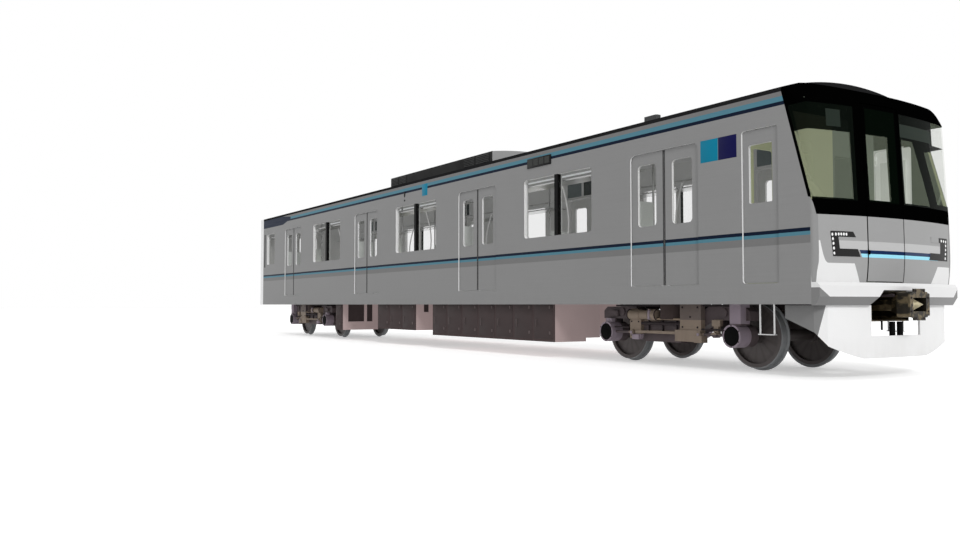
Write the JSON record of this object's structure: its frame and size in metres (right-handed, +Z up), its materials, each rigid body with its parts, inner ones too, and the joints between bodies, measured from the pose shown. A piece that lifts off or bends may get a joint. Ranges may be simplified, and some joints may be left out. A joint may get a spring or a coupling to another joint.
{
  "type": "metro car",
  "caption": "Metro car with a driving cab, sliding door leaves in pairs, bench seats, roof air conditioner, underfloor cases, two bogies and a coupler at each end.",
  "frame": {"origin": "centre of the car's footprint between the two coupler faces, at the lowest point of the wheel flanges, 30 mm below the rail tops", "axes": "+X towards the driving cab, +Y to the car's left side, +Z up"},
  "size_m": [20.06, 2.78, 3.9199],
  "materials": {
    "body_paint": "satin grey",
    "front_paint": "satin light grey",
    "leaf_paint": "satin grey",
    "white_paint": "satin white",
    "black_gloss": "gloss black",
    "roof_paint": "matt dark grey",
    "lining": "cream laminate",
    "floor_cover": "matt grey",
    "gangway_rubber": "matt",
    "cab_window": "tinted",
    "window": "clear",
    "coupler_steel": "oily dark brown",
    "under_paint": "matt dark grey",
    "case_paint": "matt brown grey",
    "cab_panel": "satin pale grey green",
    "desk_plastic": "matt black",
    "seat_fabric": "woven blue",
    "steel": "brushed",
    "air_con_paint": "matt dark grey",
    "bogie_paint": "matt brown grey",
    "spring_rubber": "matt",
    "wheel_steel": "rusty steel with a bright tread"
  },
  "bodies": {
    "car_body": {"side_wall_right": "body_paint", "side_wall_left": "body_paint", "side_linings": "lining", "roof": "roof_paint", "floor": "floor_cover", "end_wall": "body_paint", "end_lining": "lining", "gangway": "gangway_rubber", "guard_posts": "white_paint", "cab_mask": "black_gloss", "cab_glass": "cab_window", "cab_front": "front_paint", "lamp_housings": "black_gloss", "bumper": "white_paint", "skirt": "white_paint", "side_glass": "window", "couplers": "coupler_steel", "underframe": "under_paint", "cab_bulkhead": "cab_panel", "cab_desk": "desk_plastic", "cab_seat": "seat_fabric", "seat_cushions": "seat_fabric", "seat_frames": "cab_panel", "luggage_racks": "steel", "handrails": "steel", "equipment_cases": "case_paint", "air_conditioner": "air_con_paint", "aerial": "desk_plastic", "cab_steps": "steel"},
    "door_leaf_right_1_rear": {"door_leaf_right_1_rear": "leaf_paint"},
    "door_leaf_right_1_front": {"door_leaf_right_1_front": "leaf_paint"},
    "door_leaf_right_2_rear": {"door_leaf_right_2_rear": "leaf_paint"},
    "door_leaf_right_2_front": {"door_leaf_right_2_front": "leaf_paint"},
    "door_leaf_right_3_rear": {"door_leaf_right_3_rear": "leaf_paint"},
    "door_leaf_right_3_front": {"door_leaf_right_3_front": "leaf_paint"},
    "door_leaf_right_4_rear": {"door_leaf_right_4_rear": "leaf_paint"},
    "door_leaf_right_4_front": {"door_leaf_right_4_front": "leaf_paint"},
    "cab_door_right": {"cab_door_right": "leaf_paint"},
    "door_leaf_left_1_rear": {"door_leaf_left_1_rear": "leaf_paint"},
    "door_leaf_left_1_front": {"door_leaf_left_1_front": "leaf_paint"},
    "door_leaf_left_2_rear": {"door_leaf_left_2_rear": "leaf_paint"},
    "door_leaf_left_2_front": {"door_leaf_left_2_front": "leaf_paint"},
    "door_leaf_left_3_rear": {"door_leaf_left_3_rear": "leaf_paint"},
    "door_leaf_left_3_front": {"door_leaf_left_3_front": "leaf_paint"},
    "door_leaf_left_4_rear": {"door_leaf_left_4_rear": "leaf_paint"},
    "door_leaf_left_4_front": {"door_leaf_left_4_front": "leaf_paint"},
    "cab_door_left": {"cab_door_left": "leaf_paint"},
    "nose_door": {"nose_door": "front_paint"},
    "bulkhead_door": {"bulkhead_door": "cab_panel"},
    "end_door": {"end_door": "leaf_paint"},
    "bogie_rear": {"bogie_frame_rear": "bogie_paint", "air_springs_rear": "spring_rubber"},
    "wheelset_rear_rear": {"wheelset_rear_rear": "wheel_steel"},
    "wheelset_rear_front": {"wheelset_rear_front": "wheel_steel"},
    "bogie_front": {"bogie_frame_front": "bogie_paint", "air_springs_front": "spring_rubber"},
    "wheelset_front_rear": {"wheelset_front_rear": "wheel_steel"},
    "wheelset_front_front": {"wheelset_front_front": "wheel_steel"}
  },
  "joints": [
    {"name": "slide_right_1_rear", "type": "slide", "parent": "car_body", "child": "door_leaf_right_1_rear", "axis": [-1, 0, 0], "range_m": [0, 0.64]},
    {"name": "slide_right_1_front", "type": "slide", "parent": "car_body", "child": "door_leaf_right_1_front", "axis": [1, 0, 0], "range_m": [0, 0.64]},
    {"name": "slide_right_2_rear", "type": "slide", "parent": "car_body", "child": "door_leaf_right_2_rear", "axis": [-1, 0, 0], "range_m": [0, 0.64]},
    {"name": "slide_right_2_front", "type": "slide", "parent": "car_body", "child": "door_leaf_right_2_front", "axis": [1, 0, 0], "range_m": [0, 0.64]},
    {"name": "slide_right_3_rear", "type": "slide", "parent": "car_body", "child": "door_leaf_right_3_rear", "axis": [-1, 0, 0], "range_m": [0, 0.64]},
    {"name": "slide_right_3_front", "type": "slide", "parent": "car_body", "child": "door_leaf_right_3_front", "axis": [1, 0, 0], "range_m": [0, 0.64]},
    {"name": "slide_right_4_rear", "type": "slide", "parent": "car_body", "child": "door_leaf_right_4_rear", "axis": [-1, 0, 0], "range_m": [0, 0.64]},
    {"name": "slide_right_4_front", "type": "slide", "parent": "car_body", "child": "door_leaf_right_4_front", "axis": [1, 0, 0], "range_m": [0, 0.64]},
    {"name": "cab_door_hinge_right", "type": "hinge", "parent": "car_body", "child": "cab_door_right", "pos_m": [8.624, -1.32, 2], "axis": [0, 0, 1], "range_deg": [0, 88]},
    {"name": "slide_left_1_rear", "type": "slide", "parent": "car_body", "child": "door_leaf_left_1_rear", "axis": [-1, 0, 0], "range_m": [0, 0.64]},
    {"name": "slide_left_1_front", "type": "slide", "parent": "car_body", "child": "door_leaf_left_1_front", "axis": [1, 0, 0], "range_m": [0, 0.64]},
    {"name": "slide_left_2_rear", "type": "slide", "parent": "car_body", "child": "door_leaf_left_2_rear", "axis": [-1, 0, 0], "range_m": [0, 0.64]},
    {"name": "slide_left_2_front", "type": "slide", "parent": "car_body", "child": "door_leaf_left_2_front", "axis": [1, 0, 0], "range_m": [0, 0.64]},
    {"name": "slide_left_3_rear", "type": "slide", "parent": "car_body", "child": "door_leaf_left_3_rear", "axis": [-1, 0, 0], "range_m": [0, 0.64]},
    {"name": "slide_left_3_front", "type": "slide", "parent": "car_body", "child": "door_leaf_left_3_front", "axis": [1, 0, 0], "range_m": [0, 0.64]},
    {"name": "slide_left_4_rear", "type": "slide", "parent": "car_body", "child": "door_leaf_left_4_rear", "axis": [-1, 0, 0], "range_m": [0, 0.64]},
    {"name": "slide_left_4_front", "type": "slide", "parent": "car_body", "child": "door_leaf_left_4_front", "axis": [1, 0, 0], "range_m": [0, 0.64]},
    {"name": "cab_door_hinge_left", "type": "hinge", "parent": "car_body", "child": "cab_door_left", "pos_m": [8.624, 1.32, 2], "axis": [0, 0, -1], "range_deg": [0, 88]},
    {"name": "nose_door_hinge", "type": "hinge", "parent": "car_body", "child": "nose_door", "pos_m": [9.77, -0.57, 1.56], "axis": [0.03, 0, -0.9996], "range_deg": [0, 95]},
    {"name": "bulkhead_door_hinge", "type": "hinge", "parent": "car_body", "child": "bulkhead_door", "pos_m": [8.605, -0.614, 2], "axis": [0, 0, -1], "range_deg": [0, 88]},
    {"name": "end_door_slide", "type": "slide", "parent": "car_body", "child": "end_door", "axis": [0, 1, 0], "range_m": [0, 0.8]},
    {"name": "bogie_swivel_rear", "type": "hinge", "parent": "car_body", "child": "bogie_rear", "pos_m": [-6.9, 0, 0.6], "axis": [0, 0, 1], "range_deg": [-4, 4]},
    {"name": "wheelset_turn_rear_rear", "type": "hinge", "parent": "bogie_rear", "child": "wheelset_rear_rear", "pos_m": [-8.135, 0, 0.46], "axis": [0, 1, 0], "continuous": true},
    {"name": "wheelset_turn_rear_front", "type": "hinge", "parent": "bogie_rear", "child": "wheelset_rear_front", "pos_m": [-5.665, 0, 0.46], "axis": [0, 1, 0], "continuous": true},
    {"name": "bogie_swivel_front", "type": "hinge", "parent": "car_body", "child": "bogie_front", "pos_m": [6.9, 0, 0.6], "axis": [0, 0, 1], "range_deg": [-4, 4]},
    {"name": "wheelset_turn_front_rear", "type": "hinge", "parent": "bogie_front", "child": "wheelset_front_rear", "pos_m": [5.665, 0, 0.46], "axis": [0, 1, 0], "continuous": true},
    {"name": "wheelset_turn_front_front", "type": "hinge", "parent": "bogie_front", "child": "wheelset_front_front", "pos_m": [8.135, 0, 0.46], "axis": [0, 1, 0], "continuous": true}
  ],
  "couplings": [
    {"joint": "slide_right_1_rear", "follows": "slide_right_1_front", "ratio": 1},
    {"joint": "slide_right_2_rear", "follows": "slide_right_2_front", "ratio": 1},
    {"joint": "slide_right_3_rear", "follows": "slide_right_3_front", "ratio": 1},
    {"joint": "slide_right_4_rear", "follows": "slide_right_4_front", "ratio": 1},
    {"joint": "slide_left_1_rear", "follows": "slide_left_1_front", "ratio": 1},
    {"joint": "slide_left_2_rear", "follows": "slide_left_2_front", "ratio": 1},
    {"joint": "slide_left_3_rear", "follows": "slide_left_3_front", "ratio": 1},
    {"joint": "slide_left_4_rear", "follows": "slide_left_4_front", "ratio": 1}
  ]
}
